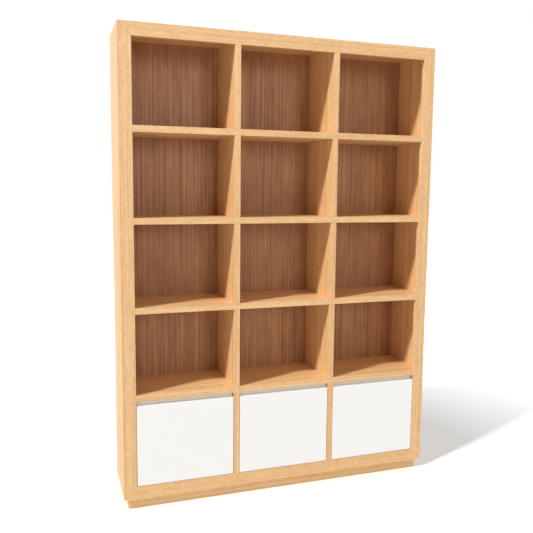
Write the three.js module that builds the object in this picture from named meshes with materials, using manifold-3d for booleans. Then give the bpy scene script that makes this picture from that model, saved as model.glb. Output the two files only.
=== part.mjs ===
// Bookcase: three columns of open compartments over a row of three inset drawers, on a recessed plinth.
// Millimetres. X runs to the right, Y from the front to the back and Z up.
// The origin is on the floor, under the middle of the bookcase.
import * as THREE from "three";
import { mergeVertices } from "three/addons/utils/BufferGeometryUtils.js";
import Module from "manifold-3d";

const wasm = await Module();
wasm.setup();

// Overall size
const bookcaseWidth = 1500;
const bookcaseHeight = 2100;
const bookcaseDepth = 300;

// Boards of the carcass, and the front frame of wide strips that covers their edges
const boardThickness = 18;
const faceWidth = 57;
const faceThickness = 18;
const dividerThickness = 27;
const shelfThickness = 28;
const backThickness = 8;
const backInset = 2;
const rebateWidth = 9;

// Columns and rows
const columnNames = ["left", "centre", "right"];
const shelfCount = 4;
const drawerOpeningHeight = 388;

// Recessed plinth
const plinthHeight = 50;
const plinthThickness = 20;
const plinthSideSetback = 20;
const plinthFrontSetback = 20;
const plinthBackSetback = 20;

// Drawer front, set in flush
const frontThickness = 18;
const frontSideGap = 2;
const frontBottomGap = 2;
const fingerGap = 20;

// Drawer box
const boxBackClearance = 7.8;
const boxWallThickness = 13;
const boxTopGap = 7;
const boxBottomRise = 12;
const boxBottomThickness = 6;
const boxGrooveDepth = 6;
const boxGrooveHeight = 12;

// Ball-bearing drawer runners
const runnerHeight = 45;
const runnerThickness = 12.7;
const runnerSheet = 1.2;
const runnerBallTrack = 3.4;
const runnerPlay = 0.3;
const runnerLip = 1;
const runnerFrontGap = 1;
const runnerCentreHeight = 110;
const packerMargin = 22;

// Hairlines between pieces: flat faces that meet, and the cut faces of a mitre
const jointGap = 0.1;
const mitreGap = 0.3;

// How far a cutting block runs past the face that it opens
const cutOverrun = 5;

// Planes that the pieces share: the shell's inner faces, and the opening inside the front frame
const left = -bookcaseWidth / 2;
const right = bookcaseWidth / 2;
const front = -bookcaseDepth / 2;
const back = bookcaseDepth / 2;
const shellLeft = left + boardThickness;
const shellRight = right - boardThickness;
const shellTop = bookcaseHeight - boardThickness;
const shellBottom = plinthHeight + boardThickness;
const innerLeft = left + faceWidth;
const innerRight = right - faceWidth;
const innerTop = bookcaseHeight - faceWidth;
const innerBottom = plinthHeight + faceWidth;
const faceBack = front + faceThickness;
const boardFront = faceBack + jointGap;
const backPanelFace = back - backInset - backThickness;
const boardBack = backPanelFace - jointGap;
const lapPlane = (front + boardBack) / 2;

// Columns and rows between the boards
const dividerCount = columnNames.length - 1;
const columnWidth = (innerRight - innerLeft - dividerCount * dividerThickness) / columnNames.length;
const columnPitch = columnWidth + dividerThickness;
const deckUnderside = innerBottom + drawerOpeningHeight;
const shelfPitch = (innerTop - deckUnderside) / shelfCount;

// Drawer parts, in a column whose lower left front corner is the origin
const frontTop = drawerOpeningHeight - fingerGap;
const boxFrontFace = frontThickness + jointGap;
const boxInnerFront = boxFrontFace + boxWallThickness;
const boxBackFace = boardBack - front - boxBackClearance;
const runnerLength = boxBackFace - boxInnerFront - runnerFrontGap;
const boxLeft = runnerThickness + 2 * jointGap;
const boxRight = columnWidth - boxLeft;
const boxFoot = frontBottomGap + boxBottomRise;
const boxTop = drawerOpeningHeight - boxTopGap;

// Finishes
const frameWood = { color: 0xd9a870, roughness: 0.45, metalness: 0 };
const shelfWood = { color: 0xdcae78, roughness: 0.45, metalness: 0 };
const plinthWood = { color: 0xd6a46b, roughness: 0.45, metalness: 0 };
const backVeneer = { color: 0xb98453, roughness: 0.4, metalness: 0 };
const whiteLacquer = { color: 0xf4f2ec, roughness: 0.35, metalness: 0 };
const whiteBox = { color: 0xe3e0d8, roughness: 0.5, metalness: 0 };
const zincSteel = { color: 0xb9bcc0, roughness: 0.35, metalness: 0.9 };

// A named piece with its own material
function piece(name, geometry, finish) {
  const mesh = new THREE.Mesh(geometry, new THREE.MeshStandardMaterial(finish));
  mesh.name = name;
  return mesh;
}

// A rectangular board between its lowest and its highest corner
function board(name, low, high, finish) {
  const size = high.map((value, axis) => value - low[axis]);
  const mesh = piece(name, new THREE.BoxGeometry(...size), finish);
  mesh.position.set(...high.map((value, axis) => (value + low[axis]) / 2));
  return mesh;
}

// A straight piece with the given outline, drawn in X and Y and extruded along Z
function prism(name, outline, length, finish) {
  const shape = new THREE.Shape(outline.map(([x, y]) => new THREE.Vector2(x, y)));
  return piece(name, new THREE.ExtrudeGeometry(shape, { depth: length, bevelEnabled: false }), finish);
}

// Stands a prism's outline up in X and Z, with its length running forwards from the plane y = backPlane
function standUp(mesh, backPlane) {
  mesh.rotation.x = Math.PI / 2;
  mesh.position.y = backPlane;
  return mesh;
}

// The closed solid of a geometry, moved by an offset
function solidOf(geometry, offset) {
  const bare = new THREE.BufferGeometry();
  bare.setAttribute("position", geometry.getAttribute("position").clone());
  bare.setIndex(geometry.getIndex());
  const merged = mergeVertices(bare.translate(offset.x, offset.y, offset.z));
  return new wasm.Manifold(
    new wasm.Mesh({
      numProp: 3,
      vertProperties: merged.getAttribute("position").array,
      triVerts: new Uint32Array(merged.getIndex().array),
    }),
  );
}

// Takes a block out of a piece; the block's corners are given in the piece's own axes
function carve(mesh, low, high) {
  const block = board("block", low, high);
  const result = solidOf(mesh.geometry, new THREE.Vector3())
    .subtract(solidOf(block.geometry, block.position))
    .getMesh();
  const geometry = new THREE.BufferGeometry();
  geometry.setAttribute("position", new THREE.BufferAttribute(result.vertProperties, result.numProp));
  geometry.setIndex(new THREE.BufferAttribute(result.triVerts, 1));
  mesh.geometry = geometry.toNonIndexed();
  mesh.geometry.computeVertexNormals();
  return mesh;
}

// Takes a block out of a board that isn't turned; the block's corners are given beside the board's own
function notch(mesh, low, high) {
  const shift = (corner) => corner.map((value, axis) => value - mesh.position.getComponent(axis));
  return carve(mesh, shift(low), shift(high));
}

// Outlines of the four boards of a rectangular frame with mitred corners, each clear of its neighbours
function mitredRing(low, high, thickness) {
  const step = mitreGap / Math.SQRT2;
  const [x0, y0] = low;
  const [x1, y1] = high;
  const run = thickness + step;
  return {
    left: [[x0, y0 + step], [x0 + thickness, y0 + run], [x0 + thickness, y1 - run], [x0, y1 - step]],
    right: [[x1, y0 + step], [x1 - thickness, y0 + run], [x1 - thickness, y1 - run], [x1, y1 - step]],
    lower: [[x0 + step, y0], [x0 + run, y0 + thickness], [x1 - run, y0 + thickness], [x1 - step, y0]],
    upper: [[x0 + step, y1], [x0 + run, y1 - thickness], [x1 - run, y1 - thickness], [x1 - step, y1]],
  };
}

// Left edge of a column's opening
function columnLeft(column) {
  return innerLeft + column * columnPitch;
}

// Outer boards, with a rebate along their back inner edge for the back panel
function makeShell() {
  const ring = mitredRing([left, plinthHeight], [right, bookcaseHeight], boardThickness);
  const rebateLow = [shellLeft - rebateWidth, shellBottom - rebateWidth, -cutOverrun];
  const rebateHigh = [shellRight + rebateWidth, shellTop + rebateWidth, back - boardBack];
  const boards = [
    ["side_board_left", ring.left],
    ["side_board_right", ring.right],
    ["bottom_board", ring.lower],
    ["top_board", ring.upper],
  ];
  return boards.map(([name, outline]) => {
    const mesh = prism(name, outline, back - boardFront, frameWood);
    return standUp(carve(mesh, rebateLow, rebateHigh), back);
  });
}

// Front frame of wide mitred strips, flush with the shell outside and standing into the opening inside
function makeFaceFrame() {
  const ring = mitredRing([left, plinthHeight], [right, bookcaseHeight], faceWidth);
  const strips = [
    ["stile_left", ring.left],
    ["stile_right", ring.right],
    ["rail_bottom", ring.lower],
    ["rail_top", ring.upper],
  ];
  return strips.map(([name, outline]) => standUp(prism(name, outline, faceThickness, frameWood), faceBack));
}

// Underside of a shelf, counted from 1 at the top; the last shelf is the deck over the drawers
function shelfUnderside(row) {
  return innerTop - row * shelfPitch;
}

// Left face of a divider, counted from 0 at the left
function dividerLeft(index) {
  return columnLeft(index) + columnWidth;
}

// Dividers from the bottom board to the top board, notched from the front for the rails and the shelves
function makeDividers() {
  const names = ["divider_left", "divider_right"];
  return names.map((name, index) => {
    const x = dividerLeft(index);
    const low = [x, front, shellBottom + jointGap];
    const high = [x + dividerThickness, boardBack, shellTop - jointGap];
    const cutLow = [x - cutOverrun, front - cutOverrun];
    const cutHigh = x + dividerThickness + cutOverrun;
    let divider = board(name, low, high, frameWood);
    divider = notch(divider, [...cutLow, plinthHeight], [cutHigh, boardFront, innerBottom + jointGap]);
    divider = notch(divider, [...cutLow, innerTop - jointGap], [cutHigh, boardFront, bookcaseHeight]);
    for (let row = 1; row <= shelfCount; row++) {
      const z = shelfUnderside(row);
      const crossing = [cutHigh, lapPlane + jointGap, z + shelfThickness + jointGap];
      divider = notch(divider, [...cutLow, z - jointGap], crossing);
    }
    return divider;
  });
}

// Shelves from side board to side board, notched for the stiles at the front and the dividers at the back
function makeShelves() {
  const shelves = [];
  for (let row = 1; row <= shelfCount; row++) {
    const z = shelfUnderside(row);
    const low = [shellLeft + jointGap, front, z];
    const high = [shellRight - jointGap, boardBack, z + shelfThickness];
    let shelf = board("shelf_" + row, low, high, shelfWood);
    for (const [stileLow, stileHigh] of [[left, innerLeft + jointGap], [innerRight - jointGap, right]]) {
      shelf = notch(
        shelf,
        [stileLow, front - cutOverrun, z - cutOverrun],
        [stileHigh, boardFront, z + shelfThickness + cutOverrun],
      );
    }
    for (let index = 0; index < dividerCount; index++) {
      const x = dividerLeft(index);
      shelf = notch(
        shelf,
        [x - jointGap, lapPlane, z - cutOverrun],
        [x + dividerThickness + jointGap, boardBack + cutOverrun, z + shelfThickness + cutOverrun],
      );
    }
    shelves.push(shelf);
  }
  return shelves;
}

// Back panel, lying in the rebate of the shell and a little in from its back edges
function makeBackPanel() {
  const reach = rebateWidth - jointGap;
  const low = [shellLeft - reach, backPanelFace, shellBottom - reach];
  const high = [shellRight + reach, back - backInset, shellTop + reach];
  return board("back_panel", low, high, backVeneer);
}

// Battens on the side boards, as thick as the stiles stand in, that carry the outer runners
function makePackers() {
  const reach = runnerHeight / 2 + packerMargin;
  const low = innerBottom + runnerCentreHeight - reach;
  const high = innerBottom + runnerCentreHeight + reach;
  const leftBatten = [[shellLeft + jointGap, boardFront, low], [innerLeft, boardBack, high]];
  const rightBatten = [[innerRight, boardFront, low], [shellRight - jointGap, boardBack, high]];
  return [
    board("runner_packer_left", ...leftBatten, plinthWood),
    board("runner_packer_right", ...rightBatten, plinthWood),
  ];
}

// Plinth of four mitred boards under the bottom board
function makePlinth() {
  const low = [left + plinthSideSetback, front + plinthFrontSetback];
  const high = [right - plinthSideSetback, back - plinthBackSetback];
  const ring = mitredRing(low, high, plinthThickness);
  const height = plinthHeight - jointGap;
  return [
    prism("plinth_left", ring.left, height, plinthWood),
    prism("plinth_right", ring.right, height, plinthWood),
    prism("plinth_front", ring.lower, height, plinthWood),
    prism("plinth_back", ring.upper, height, plinthWood),
  ];
}

// Drawer front and its box, whose front wall is as wide; all four walls are grooved for the bottom panel
function makeDrawer(prefix) {
  const inLeft = boxLeft + boxWallThickness;
  const inRight = boxRight - boxWallThickness;
  const inBack = boxBackFace - boxWallThickness;
  const grooveFloor = boxFoot + boxGrooveHeight;
  const grooveTop = grooveFloor + boxBottomThickness + jointGap;
  const grooveLow = [inLeft - boxGrooveDepth, boxInnerFront - boxGrooveDepth, grooveFloor];
  const grooveHigh = [inRight + boxGrooveDepth, inBack + boxGrooveDepth, grooveTop];
  const tongue = boxGrooveDepth - jointGap;
  const frontLeft = frontSideGap;
  const frontRight = columnWidth - frontSideGap;
  const sideStart = boxInnerFront + jointGap;

  const face = board(
    prefix + "_front",
    [frontLeft, 0, frontBottomGap],
    [frontRight, frontThickness, frontTop],
    whiteLacquer,
  );
  const walls = [
    ["_box_left", [boxLeft, sideStart, boxFoot], [inLeft, boxBackFace, boxTop]],
    ["_box_right", [inRight, sideStart, boxFoot], [boxRight, boxBackFace, boxTop]],
    ["_box_front", [frontLeft, boxFrontFace, boxFoot], [frontRight, boxInnerFront, boxTop]],
    ["_box_back", [inLeft + jointGap, inBack, boxFoot], [inRight - jointGap, boxBackFace, boxTop]],
  ].map(([name, low, high]) => notch(board(prefix + name, low, high, whiteBox), grooveLow, grooveHigh));
  const bottom = board(
    prefix + "_box_bottom",
    [inLeft - tongue, boxInnerFront - tongue, grooveFloor + jointGap / 2],
    [inRight + tongue, inBack + tongue, grooveTop - jointGap / 2],
    whiteBox,
  );
  return [face, ...walls, bottom];
}

// Outline of a channel with its web at webPlane and its flanges reaching to edgePlane
function channel(webPlane, edgePlane, halfHeight, web, flange, middle) {
  const inside = webPlane + Math.sign(edgePlane - webPlane) * web;
  return [
    [webPlane, middle - halfHeight],
    [edgePlane, middle - halfHeight],
    [edgePlane, middle - halfHeight + flange],
    [inside, middle - halfHeight + flange],
    [inside, middle + halfHeight - flange],
    [edgePlane, middle + halfHeight - flange],
    [edgePlane, middle + halfHeight],
    [webPlane, middle + halfHeight],
  ];
}

// The three members of the runner at one side of a drawer, nested between the column's wall and the box
function makeRunner(prefix, side) {
  const across = (depth) => (side === "left" ? jointGap + depth : columnWidth - jointGap - depth);
  const cabinetHalf = runnerHeight / 2;
  const middleHalf = cabinetHalf - runnerSheet - runnerPlay;
  const drawerHalf = middleHalf - runnerBallTrack - runnerPlay;
  const middleWeb = runnerSheet + runnerPlay;
  const drawerEdge = middleWeb + runnerSheet + runnerPlay;
  const lipPlane = runnerThickness - runnerLip;
  const members = [
    ["cabinet", across(0), across(lipPlane), cabinetHalf, runnerSheet],
    ["middle", across(middleWeb), across(lipPlane), middleHalf, runnerBallTrack],
    ["drawer", across(runnerThickness), across(drawerEdge), drawerHalf, runnerSheet],
  ];
  return members.map(([member, webPlane, edgePlane, halfHeight, flange]) => {
    const outline = channel(webPlane, edgePlane, halfHeight, runnerSheet, flange, runnerCentreHeight);
    const mesh = prism(prefix + "_runner_" + side + "_" + member, outline, runnerLength, zincSteel);
    return standUp(mesh, boxBackFace);
  });
}

// Everything in a column's drawer opening
function makeDrawerBay(column) {
  const bay = new THREE.Group();
  const prefix = "drawer_" + columnNames[column];
  bay.add(...makeDrawer(prefix), ...makeRunner(prefix, "left"), ...makeRunner(prefix, "right"));
  bay.position.set(columnLeft(column), front, innerBottom);
  return bay;
}

const bookcase = new THREE.Group();
bookcase.name = "bookcase";
bookcase.add(...makeShell(), ...makeFaceFrame(), ...makeDividers(), ...makeShelves());
bookcase.add(makeBackPanel(), ...makePlinth(), ...makePackers());
bookcase.add(...columnNames.map((name, column) => makeDrawerBay(column)));

export default bookcase;
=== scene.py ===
"""Looks of a tall bookcase with open compartments over three flush white drawers.

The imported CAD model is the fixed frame. Its boards stay and get their woods and lacquers here,
and the drawer runners, balls and screws are modelled new. Lengths are in metres.
"""

import logging
import math
from collections.abc import Callable, Iterable, Mapping
from dataclasses import dataclass, field
from enum import Enum

import bpy
from mathutils import Matrix, Vector


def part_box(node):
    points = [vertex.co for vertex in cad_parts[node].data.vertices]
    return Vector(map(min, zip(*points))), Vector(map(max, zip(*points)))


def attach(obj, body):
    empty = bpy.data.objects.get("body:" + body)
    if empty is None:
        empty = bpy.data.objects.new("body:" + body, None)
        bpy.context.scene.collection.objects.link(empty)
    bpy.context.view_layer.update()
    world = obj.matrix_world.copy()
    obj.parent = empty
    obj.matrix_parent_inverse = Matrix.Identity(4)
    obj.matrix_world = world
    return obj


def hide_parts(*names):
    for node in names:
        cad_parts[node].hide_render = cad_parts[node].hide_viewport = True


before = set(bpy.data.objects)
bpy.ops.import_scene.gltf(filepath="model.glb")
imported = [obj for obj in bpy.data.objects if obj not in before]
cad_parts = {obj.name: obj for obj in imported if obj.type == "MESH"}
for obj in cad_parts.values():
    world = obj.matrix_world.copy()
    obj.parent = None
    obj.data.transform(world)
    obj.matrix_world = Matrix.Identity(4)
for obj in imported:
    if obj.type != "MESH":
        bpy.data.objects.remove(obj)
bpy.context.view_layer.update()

LOG = logging.getLogger("bookcase")
MM = 0.001

Colour = tuple[float, float, float, float]
Socket = bpy.types.NodeSocket
Value = float | tuple[float, ...] | Socket

COLUMNS = ("left", "centre", "right")
DIVIDERS = ("divider_left", "divider_right")
SHELVES = ("shelf_1", "shelf_2", "shelf_3", "shelf_4")


class Grain(Enum):
    """The way that a board's fibres run, with the turn that lays them along a pattern's own Z."""

    ACROSS = (0.0, -math.pi / 2, 0.0)
    UPRIGHT = (0.0, 0.0, 0.0)
    DEEP = (math.pi / 2, 0.0, 0.0)


class Side(Enum):
    """The side of a drawer that a runner is on."""

    LEFT = "left"
    RIGHT = "right"


class Member(Enum):
    """The three members of a drawer runner."""

    CABINET = "cabinet"
    MIDDLE = "middle"
    DRAWER = "drawer"


def shade(red: int, green: int, blue: int) -> Colour:
    """Turn a display colour into the linear colour that shaders take.

    Args:
        red: Red from 0 to 255.
        green: Green from 0 to 255.
        blue: Blue from 0 to 255.

    Returns:
        The linear colour with a full alpha.
    """
    parts = [value / 255 for value in (red, green, blue)]
    linear = [part / 12.92 if part <= 0.04045 else ((part + 0.055) / 1.055) ** 2.4 for part in parts]
    return (*linear, 1.0)


WHITE = shade(255, 255, 255)


@dataclass(frozen=True)
class Layer:
    """One layer of noise in a pattern, whose middle value is a half.

    It has so many cells to the metre, drawn out along Z where its stretch is under 1, and detail
    and rough say how many finer layers it carries and how strong they are.
    """

    per_metre: float = 1.0
    stretch: float = 1.0
    detail: float = 2.0
    rough: float = 0.5


class NodeSheet:
    """A node tree that short calls fill in."""

    def __init__(self, tree: bpy.types.NodeTree) -> None:
        """Start on an empty tree."""
        self.tree = tree
        tree.nodes.clear()

    def node(
        self, kind: str, inputs: Mapping[str | int, Value] | None = None, **settings: object
    ) -> bpy.types.Node:
        """Add a node, set it up and fill its input sockets.

        Args:
            kind: The node's type without its "ShaderNode" prefix.
            inputs: The value, or the output socket to link, for each input socket.
            **settings: The node's own settings.

        Returns:
            The new node.
        """
        prefix = "" if kind.startswith("NodeGroup") else "ShaderNode"
        new = self.tree.nodes.new(prefix + kind)
        for name, setting in settings.items():
            setattr(new, name, setting)
        for name, value in (inputs or {}).items():
            if isinstance(value, Socket):
                self.tree.links.new(value, new.inputs[name])
            else:
                new.inputs[name].default_value = value
        return new

    def maths(self, operation: str, first: Value, second: Value = 0.0, third: Value = 0.0) -> Socket:
        """Add a Math node.

        Args:
            operation: The node's operation.
            first: The first value or socket.
            second: The second value or socket.
            third: The third value or socket.

        Returns:
            The socket that holds the result.
        """
        return self.node("Math", {0: first, 1: second, 2: third}, operation=operation).outputs[0]

    def centred(self, value: Value) -> Socket:
        """Move a noise's middle value to nothing."""
        return self.maths("SUBTRACT", value, 0.5)

    def times(self, vector: Value, factors: Value) -> Socket:
        """Multiply a vector by another, part by part.

        Args:
            vector: The first vector or its socket.
            factors: The second vector or its socket.

        Returns:
            The socket that holds the product.
        """
        return self.node("VectorMath", {0: vector, 1: factors}, operation="MULTIPLY").outputs[0]

    def noise(self, vector: Value, layer: Layer, per_metre: Value | None = None) -> Socket:
        """Add a noise texture.

        Args:
            vector: The place that it is read at.
            layer: What the noise is like.
            per_metre: The socket that holds its cells to the metre, where they aren't the layer's own.

        Returns:
            The socket that holds its value.
        """
        inputs = {
            "Vector": vector if layer.stretch == 1.0 else self.times(vector, (1.0, 1.0, layer.stretch)),
            "Scale": layer.per_metre if per_metre is None else per_metre,
            "Detail": layer.detail,
            "Roughness": layer.rough,
        }
        return self.node("TexNoise", inputs).outputs[0]

    def span(self, value: Value, source: tuple[float, float], target: tuple[float, float]) -> Socket:
        """Map one range of a value to another, held at its ends.

        Args:
            value: The value's socket.
            source: The range that is read.
            target: The range that comes out.

        Returns:
            The socket that holds the mapped value.
        """
        inputs = {0: value, 1: source[0], 2: source[1], 3: target[0], 4: target[1]}
        return self.node("MapRange", inputs, clamp=True).outputs[0]

    def mix(self, factor: Value, first: Value, second: Value) -> Socket:
        """Mix two colours.

        Args:
            factor: The share of the second colour.
            first: The first colour.
            second: The second colour.

        Returns:
            The socket that holds the mixed colour.
        """
        return self.node("Mix", {0: factor, 6: first, 7: second}, data_type="RGBA").outputs[2]

    def grouped(self, tree: bpy.types.NodeTree, inputs: Mapping[str | int, Value]) -> bpy.types.Node:
        """Place a node group and fill its inputs."""
        return self.node("Group", inputs, node_tree=tree)

    def parts(self, vector: Value) -> tuple[Socket, Socket, Socket]:
        """Split a vector into its X, Y and Z sockets."""
        split = self.node("SeparateXYZ", {0: vector})
        return split.outputs[0], split.outputs[1], split.outputs[2]

    def joined(self, x: Value, y: Value, z: Value) -> Socket:
        """Join X, Y and Z into a vector."""
        return self.node("CombineXYZ", {0: x, 1: y, 2: z}).outputs[0]


@dataclass(frozen=True)
class Effect:
    """A node group that several materials share: its name, its inputs and its outputs."""

    name: str
    inputs: tuple[tuple[str, str], ...]
    outputs: tuple[str, ...]

    def group(self, draw: Callable[[NodeSheet, bpy.types.Node, bpy.types.Node], None]) -> bpy.types.NodeTree:
        """Build the group the first time that it is asked for.

        Args:
            draw: Fills the sheet in, between the group's input node and its output node.

        Returns:
            The node group.
        """
        found = bpy.data.node_groups.get(self.name)
        if found:
            return found
        tree = bpy.data.node_groups.new(self.name, "ShaderNodeTree")
        for name, kind in self.inputs:
            tree.interface.new_socket(name=name, in_out="INPUT", socket_type="NodeSocket" + kind)
        for name in self.outputs:
            tree.interface.new_socket(name=name, in_out="OUTPUT", socket_type="NodeSocketFloat")
        sheet = NodeSheet(tree)
        draw(sheet, sheet.node("NodeGroupInput"), sheet.node("NodeGroupOutput"))
        return tree


@dataclass(frozen=True)
class WoodFigure:
    """The figure of straight-grained wood, read with its fibres along Z."""

    effect: Effect = Effect(
        "wood_figure",
        (
            ("Place", "Vector"),
            ("Stripes per Metre", "Float"),
            ("Wander", "Float"),
            ("Stripe Contrast", "Float"),
            ("Fleck Contrast", "Float"),
        ),
        ("Tone", "Pores", "Height"),
    )
    fibre_stretch: float = 0.045
    stripe_stretch: float = 0.14
    slant: float = 0.35
    bow: Layer = Layer(3.0)
    rings: Layer = Layer(detail=4.0, rough=0.62)
    band: Layer = Layer(14.0, detail=1.0)
    mottle: Layer = Layer(30.0, stretch=0.3, detail=3.0)
    fleck: Layer = Layer(130.0, stretch=0.28, detail=3.0)
    fibre: Layer = Layer(900.0)
    pore: Layer = Layer(1700.0, stretch=0.03, detail=1.0)
    pore_range: tuple[float, float] = (0.56, 0.70)
    ring_share: float = 2.4
    band_share: float = 0.4
    mottle_share: float = 0.55
    fibre_share: float = 0.45
    fibre_height: float = 0.5
    pore_height: float = -0.8

    def tree(self) -> bpy.types.NodeTree:
        """Build or find the node group."""
        return self.effect.group(self.draw)

    def draw(self, sheet: NodeSheet, given: bpy.types.Node, result: bpy.types.Node) -> None:
        """Draw growth stripes, mottle, flecks, fibres and pores.

        Args:
            sheet: The group's sheet.
            given: The group's input node.
            result: The group's output node.
        """
        place, stripes, wander, strength, flecks = (given.outputs[name] for name, _ in self.effect.inputs)
        drawn_out = sheet.times(place, (1.0, 1.0, self.fibre_stretch))
        x, y, z = sheet.parts(drawn_out)
        across = sheet.maths("MULTIPLY_ADD", sheet.centred(sheet.noise(drawn_out, self.bow)), wander, x)
        across = sheet.maths("MULTIPLY_ADD", y, self.slant, across)
        along = sheet.maths("MULTIPLY", z, self.stripe_stretch)
        rings = sheet.noise(sheet.joined(across, 0.0, along), self.rings, stripes)
        band = sheet.noise(sheet.joined(across, 0.0, z), self.band)
        mottle = sheet.noise(place, self.mottle)
        fleck = sheet.noise(place, self.fleck)
        fibre = sheet.noise(drawn_out, self.fibre)
        pores = sheet.span(sheet.noise(place, self.pore), self.pore_range, (0.0, 1.0))
        ringed = sheet.maths("MULTIPLY", sheet.centred(rings), strength)
        tone = sheet.maths("MULTIPLY_ADD", ringed, self.ring_share, 0.5)
        banded = sheet.maths("MULTIPLY", sheet.centred(band), strength)
        tone = sheet.maths("MULTIPLY_ADD", banded, self.band_share, tone)
        for value, share in ((mottle, self.mottle_share), (fibre, self.fibre_share), (fleck, flecks)):
            tone = sheet.maths("MULTIPLY_ADD", sheet.centred(value), share, tone)
        tone = sheet.node("Clamp", {0: tone}).outputs[0]
        height = sheet.maths("MULTIPLY_ADD", fibre, self.fibre_height, tone)
        height = sheet.maths("MULTIPLY_ADD", pores, self.pore_height, height)
        for name, socket in zip(self.effect.outputs, (tone, pores, height), strict=True):
            sheet.tree.links.new(socket, result.inputs[name])


@dataclass(frozen=True)
class LippingSeam:
    """The hairline where a board's front lipping is glued to it, a little behind the front."""

    effect: Effect = Effect("lipping_seam", (("Place", "Vector"), ("Seam Plane", "Float")), ("Seam",))
    half_width: float = 0.14 * MM

    def tree(self) -> bpy.types.NodeTree:
        """Build or find the node group."""
        return self.effect.group(self.draw)

    def draw(self, sheet: NodeSheet, given: bpy.types.Node, result: bpy.types.Node) -> None:
        """Draw one thin line across the depth.

        Args:
            sheet: The group's sheet.
            given: The group's input node.
            result: The group's output node.
        """
        depth = sheet.parts(given.outputs[0])[1]
        away = sheet.maths("ABSOLUTE", sheet.maths("SUBTRACT", depth, given.outputs[1]))
        line = sheet.span(away, (0.0, self.half_width), (1.0, 0.0))
        sheet.tree.links.new(line, result.inputs[0])


@dataclass(frozen=True)
class FineRipple:
    """The slight waviness and dust of a sprayed, coated or rolled surface."""

    effect: Effect = Effect(
        "fine_ripple",
        (("Place", "Vector"), ("Ripples per Metre", "Float")),
        ("Height", "Patches"),
    )
    fine: Layer = Layer(detail=3.0, rough=0.6)
    broad: Layer = Layer(9.0, detail=4.0, rough=0.6)

    def tree(self) -> bpy.types.NodeTree:
        """Build or find the node group."""
        return self.effect.group(self.draw)

    def draw(self, sheet: NodeSheet, given: bpy.types.Node, result: bpy.types.Node) -> None:
        """Draw fine ripples and broad patches.

        Args:
            sheet: The group's sheet.
            given: The group's input node.
            result: The group's output node.
        """
        place, ripples = given.outputs[0], given.outputs[1]
        sheet.tree.links.new(sheet.noise(place, self.fine, ripples), result.inputs["Height"])
        sheet.tree.links.new(sheet.noise(place, self.broad), result.inputs["Patches"])


def new_material(name: str) -> tuple[bpy.types.Material, NodeSheet]:
    """Make an empty node material.

    Args:
        name: The material's name.

    Returns:
        The material and its sheet.
    """
    material = bpy.data.materials.new(name)
    material.use_nodes = True
    return material, NodeSheet(material.node_tree)


def placed(sheet: NodeSheet, shift: Vector, grain: Grain) -> Socket:
    """Read the piece's own coordinates, turned to its grain and shifted to a part of the pattern.

    Args:
        sheet: The material's sheet.
        shift: How far the pattern is moved.
        grain: The way that the fibres run.

    Returns:
        The socket that holds the place.
    """
    own = sheet.node("TexCoord").outputs["Object"]
    inputs = {"Vector": own, "Location": tuple(shift), "Rotation": grain.value}
    return sheet.node("Mapping", inputs).outputs[0]


@dataclass(frozen=True)
class WoodFinish:
    """Wood under a clear satin lacquer."""

    name: str
    light: Colour
    dark: Colour
    pore: Colour
    stripes: float
    wander: float
    contrast: float
    flecks: float = 1.0
    pore_share: float = 0.35
    roughness: float = 0.52
    tone_roughness: float = -0.08
    pore_roughness: float = 0.12
    specular: float = 0.38
    coat: float = 0.08
    coat_roughness: float = 0.3
    relief: float = 0.12 * MM
    bump_strength: float = 0.5
    seam_plane: float | None = None
    seam_shade: float = 0.55

    def material(self, piece: str, grain: Grain, shift: Vector) -> bpy.types.Material:
        """Make the finish for one board.

        Args:
            piece: The board's name.
            grain: The way that its fibres run.
            shift: The part of the pattern that it is cut from.

        Returns:
            The material.
        """
        material, sheet = new_material(f"{self.name}_{piece}")
        place = placed(sheet, shift, grain)
        inputs = {
            "Place": place,
            "Stripes per Metre": self.stripes,
            "Wander": self.wander,
            "Stripe Contrast": self.contrast,
            "Fleck Contrast": self.flecks,
        }
        tone, pores, height = sheet.grouped(WoodFigure().tree(), inputs).outputs
        colour = sheet.mix(tone, self.dark, self.light)
        pored = sheet.maths("MULTIPLY", pores, self.pore_share)
        colour = sheet.mix(pored, colour, self.pore)
        if self.seam_plane is not None:
            own = sheet.node("TexCoord").outputs["Object"]
            seam = sheet.grouped(LippingSeam().tree(), {"Place": own, "Seam Plane": self.seam_plane})
            share = sheet.maths("MULTIPLY", seam.outputs[0], self.seam_shade)
            colour = sheet.mix(share, colour, self.pore)
        rough = sheet.maths("MULTIPLY_ADD", tone, self.tone_roughness, self.roughness)
        rough = sheet.maths("MULTIPLY_ADD", pores, self.pore_roughness, rough)
        bump = {"Strength": self.bump_strength, "Distance": self.relief, "Height": height}
        surface = sheet.node("BsdfPrincipled", {
            "Base Color": colour,
            "Roughness": rough,
            "Specular IOR Level": self.specular,
            "Normal": sheet.node("Bump", bump).outputs[0],
            "Coat Weight": self.coat,
            "Coat Roughness": self.coat_roughness,
        })
        sheet.node("OutputMaterial", {"Surface": surface.outputs[0]})
        return material


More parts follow.
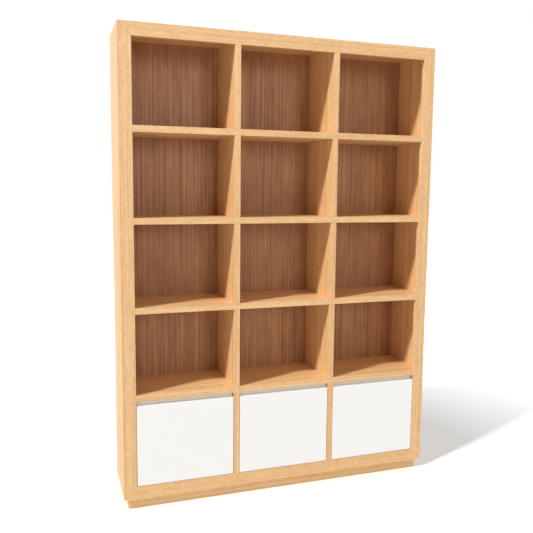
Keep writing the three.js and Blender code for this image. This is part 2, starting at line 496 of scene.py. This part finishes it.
@dataclass(frozen=True)
class CoatedFinish:
    """A plain coat over a smooth core: sprayed lacquer, pressed coating or zinc on steel."""

    name: str
    colour: Colour
    patch_colour: Colour
    roughness: float
    ripples: float
    relief: float
    bump_strength: float = 0.4
    patch_range: tuple[float, float] = (0.35, 0.7)
    patch_share: float = 0.5
    patch_roughness: float = 0.08
    metallic: float = 0.0
    coat: float = 0.0
    coat_roughness: float = 0.12

    def material(self) -> bpy.types.Material:
        """Make the finish, or find it.

        Returns:
            The material.
        """
        found = bpy.data.materials.get(self.name)
        if found:
            return found
        material, sheet = new_material(self.name)
        place = sheet.node("TexCoord").outputs["Object"]
        inputs = {"Place": place, "Ripples per Metre": self.ripples}
        height, patches = sheet.grouped(FineRipple().tree(), inputs).outputs
        share = sheet.span(patches, self.patch_range, (0.0, self.patch_share))
        colour = sheet.mix(share, self.colour, self.patch_colour)
        rough = sheet.maths("MULTIPLY_ADD", patches, self.patch_roughness, self.roughness)
        bump = {"Strength": self.bump_strength, "Distance": self.relief, "Height": height}
        surface = sheet.node("BsdfPrincipled", {
            "Base Color": colour,
            "Roughness": rough,
            "Normal": sheet.node("Bump", bump).outputs[0],
            "Metallic": self.metallic,
            "Coat Weight": self.coat,
            "Coat Roughness": self.coat_roughness,
        })
        sheet.node("OutputMaterial", {"Surface": surface.outputs[0]})
        return material


FRONT_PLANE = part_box("stile_left")[0].y
LIPPING = 3.0 * MM

FRAME_WOOD = WoodFinish(
    name="frame_wood",
    light=shade(250, 208, 154),
    dark=shade(220, 169, 115),
    pore=shade(146, 96, 54),
    stripes=90.0,
    wander=0.05,
    contrast=0.8,
)
SHELF_WOOD = WoodFinish(
    name="shelf_wood",
    light=shade(249, 206, 151),
    dark=shade(218, 167, 112),
    pore=shade(144, 94, 52),
    stripes=90.0,
    wander=0.08,
    contrast=0.8,
    seam_plane=FRONT_PLANE + LIPPING,
)
PLINTH_WOOD = WoodFinish(
    name="plinth_wood",
    light=shade(251, 210, 155),
    dark=shade(224, 174, 118),
    pore=shade(150, 100, 56),
    stripes=90.0,
    wander=0.08,
    contrast=0.8,
)
BACK_VENEER = WoodFinish(
    name="back_veneer",
    light=shade(205, 151, 103),
    dark=shade(126, 84, 56),
    pore=shade(82, 54, 38),
    stripes=150.0,
    wander=0.005,
    contrast=0.85,
    flecks=0.0,
    specular=0.3,
    coat=0.05,
    coat_roughness=0.22,
)
WHITE_LACQUER = CoatedFinish(
    name="white_lacquer",
    colour=shade(247, 246, 243),
    patch_colour=shade(244, 243, 240),
    roughness=0.24,
    ripples=320.0,
    relief=0.02 * MM,
    coat=0.25,
)
WHITE_COATING = CoatedFinish(
    name="drawer_box",
    colour=shade(231, 229, 222),
    patch_colour=shade(224, 221, 212),
    roughness=0.46,
    ripples=900.0,
    relief=0.08 * MM,
)
ZINC_STEEL = CoatedFinish(
    name="zinc_steel",
    colour=shade(198, 201, 204),
    patch_colour=shade(176, 180, 186),
    roughness=0.3,
    ripples=600.0,
    relief=0.02 * MM,
    patch_share=0.8,
    patch_roughness=0.15,
    metallic=1.0,
)
BALL_STEEL = CoatedFinish(
    name="ball_steel",
    colour=shade(214, 215, 217),
    patch_colour=shade(205, 207, 210),
    roughness=0.1,
    ripples=900.0,
    relief=0.005 * MM,
    patch_roughness=0.05,
    metallic=1.0,
)


@dataclass(frozen=True)
class SoftEdge:
    """The small rounding that sanding and spraying leave on a board's edges."""

    width: float
    segments: int = 2
    weld: float = 0.01 * MM
    flat_angle: float = math.radians(1.0)
    sharp_angle: float = math.radians(35.0)

    def on(self, node: bpy.types.Object) -> None:
        """Round the edges of a CAD board with live modifiers, which leave its own mesh as it is.

        Args:
            node: The board's object.
        """
        joined = node.modifiers.new("joined", "WELD")
        joined.merge_threshold = self.weld
        flat = node.modifiers.new("flat_faces", "DECIMATE")
        flat.decimate_type = "DISSOLVE"
        flat.angle_limit = self.flat_angle
        edge = node.modifiers.new("soft_edges", "BEVEL")
        edge.width = self.width
        edge.segments = self.segments
        edge.limit_method = "ANGLE"
        edge.angle_limit = self.sharp_angle


def dress(name: str, material: bpy.types.Material, edge: SoftEdge) -> None:
    """Give a CAD node its finish and its soft edges.

    Args:
        name: The node's name.
        material: Its material.
        edge: Its rounding.
    """
    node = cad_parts[name]
    for holder in node.material_slots:
        holder.material = material
    edge.on(node)
    LOG.info("dressed %s", name)


class Bench:
    """Shapes new pieces with Blender's own operators, as by hand."""

    same_place: float = 0.001 * MM

    @staticmethod
    def clear() -> None:
        """Deselect every object."""
        bpy.ops.object.select_all(action="DESELECT")

    @staticmethod
    def take(piece: bpy.types.Object) -> None:
        """Select one object alone and make it the active one.

        Args:
            piece: The object.
        """
        Bench.clear()
        piece.select_set(True)
        bpy.context.view_layer.objects.active = piece

    @staticmethod
    def named(name: str) -> bpy.types.Object:
        """Name the object that was just added, with its mesh.

        Args:
            name: Its new name.

        Returns:
            The object.
        """
        piece = bpy.context.active_object
        piece.name = piece.data.name = name
        return piece

    @staticmethod
    def pick(mode: str, wanted: Callable[[Vector], bool]) -> None:
        """Select the active object's edges or faces by the place of their middles, and stay in edit mode.

        Args:
            mode: "EDGE" or "FACE".
            wanted: Says for a middle whether it is selected.
        """
        bpy.ops.object.mode_set(mode="EDIT")
        bpy.ops.mesh.select_mode(type=mode)
        bpy.ops.mesh.select_all(action="DESELECT")
        bpy.ops.object.mode_set(mode="OBJECT")
        mesh = bpy.context.active_object.data
        for part in mesh.edges if mode == "EDGE" else mesh.polygons:
            corners = [mesh.vertices[index].co for index in part.vertices]
            part.select = wanted(sum(corners, Vector()) / len(corners))
        bpy.ops.object.mode_set(mode="EDIT")

    @staticmethod
    def leave() -> None:
        """Leave edit mode."""
        bpy.ops.object.mode_set(mode="OBJECT")

    @staticmethod
    def outward() -> None:
        """Merge doubles of the active object and turn its faces outwards."""
        bpy.ops.object.mode_set(mode="EDIT")
        bpy.ops.mesh.select_all(action="SELECT")
        bpy.ops.mesh.remove_doubles(threshold=Bench.same_place)
        bpy.ops.mesh.normals_make_consistent(inside=False)
        bpy.ops.object.mode_set(mode="OBJECT")

    @staticmethod
    def apply(piece: bpy.types.Object, kind: str, **settings: object) -> None:
        """Add a modifier, set it and apply it.

        Args:
            piece: The object.
            kind: The modifier's type.
            **settings: Its settings.
        """
        Bench.take(piece)
        modifier = piece.modifiers.new(kind.lower(), kind)
        for name, value in settings.items():
            setattr(modifier, name, value)
        bpy.ops.object.modifier_apply(modifier=modifier.name)

    @staticmethod
    def cut(piece: bpy.types.Object, cutter: bpy.types.Object) -> None:
        """Take a cutter's volume out of a piece, and remove the cutter.

        Args:
            piece: The piece that is cut.
            cutter: The cutter.
        """
        Bench.apply(piece, "BOOLEAN", operation="DIFFERENCE", solver="EXACT", object=cutter)
        bpy.data.meshes.remove(cutter.data)

    @staticmethod
    def join(pieces: Iterable[bpy.types.Object], name: str) -> bpy.types.Object:
        """Join objects into one.

        Args:
            pieces: The objects.
            name: The joined object's name.

        Returns:
            The joined object.
        """
        several = list(pieces)
        Bench.take(several[0])
        for piece in several:
            piece.select_set(True)
        bpy.ops.object.join()
        return Bench.named(name)

    @staticmethod
    def settle(piece: bpy.types.Object) -> bpy.types.Object:
        """Move an object's place, turn and size into its mesh.

        Args:
            piece: The object.

        Returns:
            The same object.
        """
        Bench.take(piece)
        bpy.ops.object.transform_apply(location=True, rotation=True, scale=True)
        return piece

    @staticmethod
    def copy(piece: bpy.types.Object, name: str, move: Matrix) -> bpy.types.Object:
        """Copy a piece, mesh and all, to another place.

        Args:
            piece: The piece that is copied.
            name: The copy's name.
            move: The move from the piece's place to the copy's.

        Returns:
            The copy.
        """
        twin = bpy.data.objects.new(name, piece.data.copy())
        twin.data.name = name
        twin.data.transform(move)
        bpy.context.scene.collection.objects.link(twin)
        return twin


def settle_in(piece: bpy.types.Object, body: str, material: bpy.types.Material) -> None:
    """Give a new piece its finish and the body that it moves with.

    Args:
        piece: The new piece.
        body: The CAD body that it rides on.
        material: Its finish.
    """
    piece.data.materials.clear()
    piece.data.materials.append(material)
    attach(piece, body)
    LOG.info("placed %s", piece.name)


@dataclass
class Screw:
    """A pan-head screw with a cross recess, of which only the head shows."""

    radius: float = 3.4 * MM
    height: float = 1.8 * MM
    dome: float = 1.1 * MM
    dome_steps: int = 4
    dome_angle: float = math.radians(50.0)
    recess_reach: float = 1.9 * MM
    recess_width: float = 0.75 * MM
    recess_depth: float = 1.0 * MM
    rim_points: int = 28
    pattern: bpy.types.Object | None = field(default=None, init=False)

    def build(self) -> bpy.types.Object:
        """Model the head once, with its flat face on the origin and its dome up.

        Returns:
            The pattern, which isn't shown.
        """
        Bench.clear()
        bpy.ops.mesh.primitive_cylinder_add(
            vertices=self.rim_points,
            radius=self.radius,
            depth=self.height,
            location=(0.0, 0.0, self.height / 2),
        )
        head = Bench.settle(Bench.named("screw_pattern"))
        Bench.pick("FACE", lambda middle: middle.z > self.height - self.dome / 2)
        bpy.ops.mesh.bevel(offset=self.dome, segments=self.dome_steps, affect="EDGES")
        Bench.leave()
        Bench.cut(head, self.recess())
        Bench.outward()
        bpy.ops.object.shade_smooth_by_angle(angle=self.dome_angle)
        self.pattern = head
        return head

    def recess(self) -> bpy.types.Object:
        """Make the cross-shaped cutter of the recess.

        Returns:
            The cutter.
        """
        arms = []
        for turn in (0.0, math.pi / 2):
            Bench.clear()
            place = (0.0, 0.0, self.height)
            bpy.ops.mesh.primitive_cube_add(size=1.0, location=place, rotation=(0.0, 0.0, turn))
            arm = bpy.context.active_object
            arm.scale = (2 * self.recess_reach, self.recess_width, 2 * self.recess_depth)
            arms.append(Bench.settle(arm))
        Bench.apply(arms[0], "BOOLEAN", operation="UNION", solver="EXACT", object=arms[1])
        bpy.data.meshes.remove(arms[1].data)
        return arms[0]

    def drive(self, name: str, place: Vector, direction: Vector, turn: float) -> bpy.types.Object:
        """Put a screw in, with its head's flat face at a place.

        Args:
            name: The screw's name.
            place: The middle of the head's flat face.
            direction: The way that the head points.
            turn: How far the recess is turned.

        Returns:
            The new screw.
        """
        aim = direction.to_track_quat("Z", "Y").to_matrix().to_4x4()
        move = Matrix.Translation(place) @ aim @ Matrix.Rotation(turn, 4, "Z")
        return Bench.copy(self.pattern, name, move)

    def retire(self) -> None:
        """Remove the pattern once all screws are in."""
        bpy.data.meshes.remove(self.pattern.data)


@dataclass
class Carcass:
    """Outer boards, the mitred front frame, dividers, shelves and the battens of the outer runners."""

    edge: SoftEdge = SoftEdge(0.7 * MM)
    pattern_step: float = 0.37
    uprights: tuple[str, ...] = ("side_board_left", "side_board_right", "stile_left", "stile_right")
    rails: tuple[str, ...] = ("top_board", "bottom_board", "rail_top", "rail_bottom")
    battens: tuple[str, ...] = ("runner_packer_left", "runner_packer_right")

    def build(self) -> None:
        """Dress every board, each cut from another part of the wood's pattern."""
        cuts = [(name, FRAME_WOOD, Grain.UPRIGHT) for name in self.uprights]
        cuts += [(name, FRAME_WOOD, Grain.ACROSS) for name in self.rails]
        cuts += [(name, SHELF_WOOD, Grain.UPRIGHT) for name in DIVIDERS]
        cuts += [(name, SHELF_WOOD, Grain.ACROSS) for name in SHELVES]
        cuts += [(name, PLINTH_WOOD, Grain.DEEP) for name in self.battens]
        for count, (name, wood, grain) in enumerate(cuts):
            step = count * self.pattern_step
            dress(name, wood.material(name, grain, Vector((step, -step, step))), self.edge)


@dataclass
class Plinth:
    """Recessed plinth of four mitred boards."""

    edge: SoftEdge = SoftEdge(0.6 * MM)
    pattern_start: float = 3.0
    pattern_step: float = 0.29

    def build(self) -> None:
        """Dress the four boards, with their grain along them."""
        grains = {"front": Grain.ACROSS, "back": Grain.ACROSS, "left": Grain.DEEP, "right": Grain.DEEP}
        for count, (side, grain) in enumerate(grains.items()):
            name = f"plinth_{side}"
            shift = Vector((0.0, count * self.pattern_step, self.pattern_start))
            dress(name, PLINTH_WOOD.material(name, grain, shift), self.edge)


@dataclass
class BackPanel:
    """Veneered back panel and the screws that hold it to the boards in front of it."""

    screw: Screw
    edge: SoftEdge = SoftEdge(0.4 * MM)
    pattern_start: float = 0.13
    edge_distance: float = 4.6 * MM
    spans_across: int = 6
    spans_up: int = 8
    screw_turn: float = math.radians(37.0)

    def build(self) -> None:
        """Dress the panel and drive its screws."""
        shift = Vector((self.pattern_start, 0.0, 0.0))
        dress("back_panel", BACK_VENEER.material("back_panel", Grain.UPRIGHT, shift), self.edge)
        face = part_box("back_panel")[1].y
        for count, (x, z) in enumerate(self.places()):
            name, place = f"back_screw_{count + 1}", Vector((x, face, z))
            screw = self.screw.drive(name, place, Vector((0.0, 1.0, 0.0)), count * self.screw_turn)
            settle_in(screw, "root", ZINC_STEEL.material())

    def places(self) -> list[tuple[float, float]]:
        """Work out where the screws go, round the panel's rim and along dividers and shelves.

        Returns:
            X and Z of each screw.
        """
        low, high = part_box("back_panel")
        x0, x1 = low.x + self.edge_distance, high.x - self.edge_distance
        z0, z1 = low.z + self.edge_distance, high.z - self.edge_distance
        across = [x0 + (x1 - x0) * step / self.spans_across for step in range(self.spans_across + 1)]
        up = [z0 + (z1 - z0) * step / self.spans_up for step in range(1, self.spans_up)]
        found = [(x, z) for z in (z0, z1) for x in across] + [(x, z) for x in (x0, x1) for z in up]
        for divider in DIVIDERS:
            start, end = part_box(divider)
            found += [((start.x + end.x) / 2, z) for z in up]
        for shelf in SHELVES:
            start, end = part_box(shelf)
            for column in COLUMNS:
                bay_low, bay_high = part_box(f"drawer_{column}_front")
                found.append(((bay_low.x + bay_high.x) / 2, (start.z + end.z) / 2))
        return found


@dataclass
class Drawer:
    """Flush lacquered front and the coated box behind it."""

    column: str
    screw: Screw
    front_edge: SoftEdge = SoftEdge(1.2 * MM, segments=3)
    box_edge: SoftEdge = SoftEdge(0.5 * MM)
    screw_inset: float = 60.0 * MM
    screw_turn: float = 0.6

    def build(self) -> None:
        """Dress the front and the box, and drive the screws that hold the front."""
        body = f"drawer_{self.column}"
        dress(f"{body}_front", WHITE_LACQUER.material(), self.front_edge)
        for wall in ("left", "right", "front", "back", "bottom"):
            dress(f"{body}_box_{wall}", WHITE_COATING.material(), self.box_edge)
        low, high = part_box(f"{body}_box_front")
        count = 0
        for x in (low.x + self.screw_inset, high.x - self.screw_inset):
            for z in (low.z + self.screw_inset, high.z - self.screw_inset):
                count += 1
                name, place = f"{body}_front_screw_{count}", Vector((x, high.y, z))
                screw = self.screw.drive(name, place, Vector((0.0, 1.0, 0.0)), count * self.screw_turn)
                settle_in(screw, body, ZINC_STEEL.material())


@dataclass
class Runner:
    """Ball-bearing drawer runner: rolled members, rows of balls and the screws of the drawer member."""

    screw: Screw
    sheet: float = 1.2 * MM
    bend: float = 2.4 * MM
    bend_steps: int = 4
    bend_angle: float = math.radians(35.0)
    lip: float = 1.6 * MM
    near: float = 0.01 * MM
    hole_radius: float = 2.3 * MM
    hole_points: int = 24
    punch_sheets: float = 4.0
    slot_stretch: float = 2.2
    hole_places: tuple[float, ...] = (0.14, 0.46, 0.86)
    slot_places: tuple[float, ...] = (0.26, 0.66)
    screw_turn: float = 0.4
    ball_radius: float = 1.55 * MM
    ball_setback: float = 3.41 * MM
    ball_pitch: float = 11.0 * MM
    ball_steps: int = 2
    patterns: dict[Member, bpy.types.Object] = field(default_factory=dict, init=False)
    balls: bpy.types.Object | None = field(default=None, init=False)

    def build_patterns(self) -> None:
        """Model the left-hand runner of the left drawer, which the others are copied from."""
        for member in Member:
            self.patterns[member] = self.channel(member)
        self.balls = self.ball_rows()

    def node(self, column: str, side: Side, member: Member) -> str:
        """Name the CAD node of a member."""
        return f"drawer_{column}_runner_{side.value}_{member.value}"

    def channel(self, member: Member) -> bpy.types.Object:
        """Fold a member from one strip of sheet, in the place of its CAD node.

        Args:
            member: The member.

        Returns:
            The folded member.
        """
        low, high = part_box(self.node("left", Side.LEFT, member))
        outward = -1.0 if member is Member.DRAWER else 1.0
        web = high.x if member is Member.DRAWER else low.x
        mouth = low.x if member is Member.DRAWER else high.x
        half = self.sheet / 2
        middle = (low + high) / 2
        rise = (high.z - low.z) / 2 - half
        Bench.clear()
        web_plane = web + outward * half
        place = (web_plane, middle.y, middle.z)
        bpy.ops.mesh.primitive_plane_add(size=1.0, location=place, rotation=(0.0, math.pi / 2, 0.0))
        strip = Bench.named(f"{member.value}_pattern")
        strip.scale = (2 * rise, high.y - low.y, 1.0)
        Bench.settle(strip)
        Bench.pick("EDGE", lambda spot: abs(abs(spot.z - middle.z) - rise) < self.near)
        mouth_plane = mouth - outward * half
        fold = (mouth_plane - web_plane, 0.0, 0.0)
        bpy.ops.mesh.extrude_region_move(TRANSFORM_OT_translate={"value": fold})
        if member is not Member.MIDDLE:
            self.curl_lips(strip, middle.z, rise, mouth_plane)
        Bench.pick("EDGE", lambda spot: self.at(spot, web_plane, middle.z, rise))
        bpy.ops.mesh.bevel(offset=self.bend, segments=self.bend_steps, affect="EDGES")
        Bench.leave()
        Bench.apply(strip, "SOLIDIFY", thickness=self.sheet, offset=0.0, use_even_offset=True)
        self.pierce(strip, low, high, web_plane)
        Bench.take(strip)
        Bench.outward()
        bpy.ops.object.shade_smooth_by_angle(angle=self.bend_angle)
        return strip

    def at(self, spot: Vector, plane: float, middle: float, rise: float) -> bool:
        """Say whether a spot lies in an upright plane, so far over or under a height."""
        return abs(spot.x - plane) < self.near and abs(abs(spot.z - middle) - rise) < self.near

    def curl_lips(self, strip: bpy.types.Object, middle: float, rise: float, mouth: float) -> None:
        """Curl the free edges of a member's flanges in, so that they hold the balls.

        Args:
            strip: The folded strip.
            middle: Height of the member's middle.
            rise: Height of a flange over that middle.
            mouth: X of the flanges' free edges.
        """
        for way in (1.0, -1.0):
            Bench.leave()
            Bench.take(strip)
            level = middle + way * rise
            Bench.pick("EDGE", lambda spot, level=level: self.at(spot, mouth, level, 0.0))
            bpy.ops.mesh.extrude_region_move(TRANSFORM_OT_translate={"value": (0.0, 0.0, -way * self.lip)})

    def pierce(self, strip: bpy.types.Object, low: Vector, high: Vector, plane: float) -> None:
        """Punch round holes and slots through a member's web.

        Args:
            strip: The member.
            low: Lowest corner of its CAD node.
            high: Highest corner of its CAD node.
            plane: X of the web's middle.
        """
        length = high.y - low.y
        level = (low.z + high.z) / 2
        for share in self.hole_places + self.slot_places:
            Bench.clear()
            bpy.ops.mesh.primitive_cylinder_add(
                vertices=self.hole_points,
                radius=self.hole_radius,
                depth=self.punch_sheets * self.sheet,
                location=(plane, low.y + share * length, level),
                rotation=(0.0, math.pi / 2, 0.0),
            )
            cutter = bpy.context.active_object
            if share in self.slot_places:
                cutter.scale = (1.0, self.slot_stretch, 1.0)
            Bench.cut(strip, Bench.settle(cutter))

    def ball_rows(self) -> bpy.types.Object:
        """Set two rows of balls in the middle member's flanges.

        Returns:
            The balls, as one piece.
        """
        low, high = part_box(self.node("left", Side.LEFT, Member.MIDDLE))
        count = int((high.y - low.y) / self.ball_pitch) - 1
        x = high.x - self.ball_setback
        balls = []
        for z in (low.z + self.ball_radius, high.z - self.ball_radius):
            for step in range(count):
                Bench.clear()
                bpy.ops.mesh.primitive_ico_sphere_add(
                    subdivisions=self.ball_steps,
                    radius=self.ball_radius,
                    location=(x, low.y + (step + 1) * self.ball_pitch, z),
                )
                balls.append(Bench.settle(bpy.context.active_object))
        rows = Bench.join(balls, "balls_pattern")
        bpy.ops.object.shade_smooth()
        return rows

    def fit(self, column: str, side: Side) -> None:
        """Copy the runner to one side of one drawer.

        Args:
            column: The drawer's column.
            side: The side of the drawer.
        """
        bodies = {
            Member.CABINET: "root",
            Member.MIDDLE: f"drawer_{column}_middle_runners",
            Member.DRAWER: f"drawer_{column}",
        }
        for member, pattern in self.patterns.items():
            node = self.node(column, side, member)
            piece = Bench.copy(pattern, f"{node}_rolled", self.move(column, side, member))
            settle_in(piece, bodies[member], ZINC_STEEL.material())
            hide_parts(node)
        prefix = f"drawer_{column}_runner_{side.value}"
        balls = Bench.copy(self.balls, f"{prefix}_balls", self.move(column, side, Member.MIDDLE))
        settle_in(balls, bodies[Member.MIDDLE], BALL_STEEL.material())
        low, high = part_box(self.node(column, side, Member.DRAWER))
        face = high.x - self.sheet if side is Side.LEFT else low.x + self.sheet
        direction = Vector((-1.0 if side is Side.LEFT else 1.0, 0.0, 0.0))
        for count, share in enumerate(self.hole_places):
            place = Vector((face, low.y + share * (high.y - low.y), (low.z + high.z) / 2))
            name = f"{prefix}_screw_{count + 1}"
            screw = self.screw.drive(name, place, direction, self.screw_turn + count)
            settle_in(screw, bodies[Member.DRAWER], ZINC_STEEL.material())

    def move(self, column: str, side: Side, member: Member) -> Matrix:
        """Work out the move from a pattern to its place, with half a turn for the right-hand side.

        Args:
            column: The drawer's column.
            side: The side of the drawer.
            member: The member.

        Returns:
            The move.
        """
        first = sum(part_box(self.node("left", Side.LEFT, member)), Vector()) / 2
        last = sum(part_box(self.node(column, side, member)), Vector()) / 2
        turn = Matrix.Rotation(math.pi if side is Side.RIGHT else 0.0, 4, "Y")
        return Matrix.Translation(last) @ turn @ Matrix.Translation(-first)

    def retire(self) -> None:
        """Remove the patterns once all runners are in."""
        for pattern in [*self.patterns.values(), self.balls]:
            bpy.data.meshes.remove(pattern.data)


@dataclass(frozen=True)
class Softbox:
    """A square studio lamp that shines on the middle of the bookcase."""

    name: str
    turn: float
    rise: float
    distance: float
    size: float
    level: float
    aim: tuple[float, float, float] = (0.0, 0.0, 1.0)

    def build(self) -> None:
        """Hang the lamp and aim it, with the power that gives its level on a surface that faces it."""
        flat = math.cos(self.rise)
        way = Vector((flat * math.sin(self.turn), -flat * math.cos(self.turn), math.sin(self.rise)))
        lamp = bpy.data.lights.new(self.name, "AREA")
        lamp.shape = "SQUARE"
        lamp.size = self.size
        lamp.energy = self.level * (math.pi * self.distance) ** 2
        holder = bpy.data.objects.new(self.name, lamp)
        holder.location = Vector(self.aim) + way * self.distance
        holder.rotation_mode = "QUATERNION"
        holder.rotation_quaternion = (-way).to_track_quat("-Z", "Y")
        bpy.context.scene.collection.objects.link(holder)


@dataclass(frozen=True)
class Viewpoint:
    """The camera, as fitted to the bookcase's edges in a square picture."""

    place: tuple[float, float, float] = (-1.03513, -2.82775, 1.42147)
    yaw: float = math.radians(-18.4037)
    pitch: float = math.radians(-6.4726)
    roll: float = math.radians(-0.4632)
    picture_side: float = 533.0
    focal_pixels: float = 627.48
    centre_pixels: tuple[float, float] = (256.76, 260.60)
    sensor: float = 36.0
    clip: tuple[float, float] = (0.05, 100.0)

    def build(self) -> None:
        """Set the camera up and make it the scene's."""
        data = bpy.data.cameras.new("camera")
        data.sensor_width = self.sensor
        data.lens = self.focal_pixels / self.picture_side * self.sensor
        data.shift_x = 0.5 - self.centre_pixels[0] / self.picture_side
        data.shift_y = self.centre_pixels[1] / self.picture_side - 0.5
        data.clip_start, data.clip_end = self.clip
        camera = bpy.data.objects.new("camera", data)
        turn = Matrix.Rotation(self.yaw, 4, "Z") @ Matrix.Rotation(self.pitch, 4, "X")
        turn = turn @ Matrix.Rotation(self.roll, 4, "Y") @ Matrix.Rotation(math.pi / 2, 4, "X")
        camera.matrix_world = Matrix.Translation(self.place) @ turn
        bpy.context.scene.collection.objects.link(camera)
        bpy.context.scene.camera = camera


@dataclass
class Studio:
    """Pale floor, white surroundings and soft lamps."""

    floor_reach: float = 60.0
    floor_colour: Colour = shade(231, 231, 229)
    floor_lift: float = 0.22
    fade: tuple[float, float] = (1.2, 3.2)
    surround: float = 0.30
    lamps: tuple[Softbox, ...] = (
        Softbox("key_lamp", math.radians(-67), math.radians(43.3), 24.0, 1.8, 0.93),
        Softbox("front_lamp", math.radians(10), math.radians(12), 12.0, 3.5, 0.17),
        Softbox("back_lamp", math.radians(150), math.radians(35), 8.0, 3.0, 0.3),
    )

    def build(self) -> None:
        """Set the studio up."""
        bpy.context.scene.view_settings.view_transform = "Standard"
        self.lay_floor()
        self.light_surround()
        for lamp in self.lamps:
            lamp.build()
        Viewpoint().build()

    def lay_floor(self) -> None:
        """Lay a pale floor that shows white where the camera sees it unshaded."""
        Bench.clear()
        bpy.ops.mesh.primitive_plane_add(size=self.floor_reach, location=(0.0, 0.0, 0.0))
        floor = Bench.named("floor")
        material, sheet = new_material("pale_floor")
        matt = sheet.node("BsdfDiffuse", {"Color": self.floor_colour})
        path = sheet.node("LightPath")
        own = sheet.node("TexCoord").outputs["Object"]
        away = sheet.node("VectorMath", {0: own}, operation="LENGTH").outputs["Value"]
        lift = sheet.span(away, self.fade, (self.floor_lift, 1.0))
        lift = sheet.maths("MULTIPLY", path.outputs["Is Camera Ray"], lift)
        glow = sheet.node("Emission", {"Color": WHITE, "Strength": lift})
        both = sheet.node("AddShader", {0: matt.outputs[0], 1: glow.outputs[0]})
        sheet.node("OutputMaterial", {"Surface": both.outputs[0]})
        floor.data.materials.append(material)

    def light_surround(self) -> None:
        """Light the scene evenly from all round, and show white to camera, gloss and glass."""
        world = bpy.data.worlds.new("surround")
        world.use_nodes = True
        bpy.context.scene.world = world
        sheet = NodeSheet(world.node_tree)
        path = sheet.node("LightPath")
        seen = sheet.maths("MAXIMUM", path.outputs["Is Camera Ray"], path.outputs["Is Glossy Ray"])
        seen = sheet.maths("MAXIMUM", seen, path.outputs["Is Transmission Ray"])
        strength = sheet.span(seen, (0.0, 1.0), (self.surround, 1.0))
        light = sheet.node("Background", {"Color": WHITE, "Strength": strength})
        sheet.node("OutputWorld", {"Surface": light.outputs[0]})


def main() -> None:
    """Set the studio up, dress the frame and add the new pieces."""
    logging.basicConfig(level=logging.INFO, format="%(message)s")
    Studio().build()
    screw = Screw()
    screw.build()
    Carcass().build()
    Plinth().build()
    BackPanel(screw).build()
    runner = Runner(screw)
    runner.build_patterns()
    for column in COLUMNS:
        Drawer(column, screw).build()
        for side in Side:
            runner.fit(column, side)
    runner.retire()
    screw.retire()


if __name__ == "__main__":
    main()
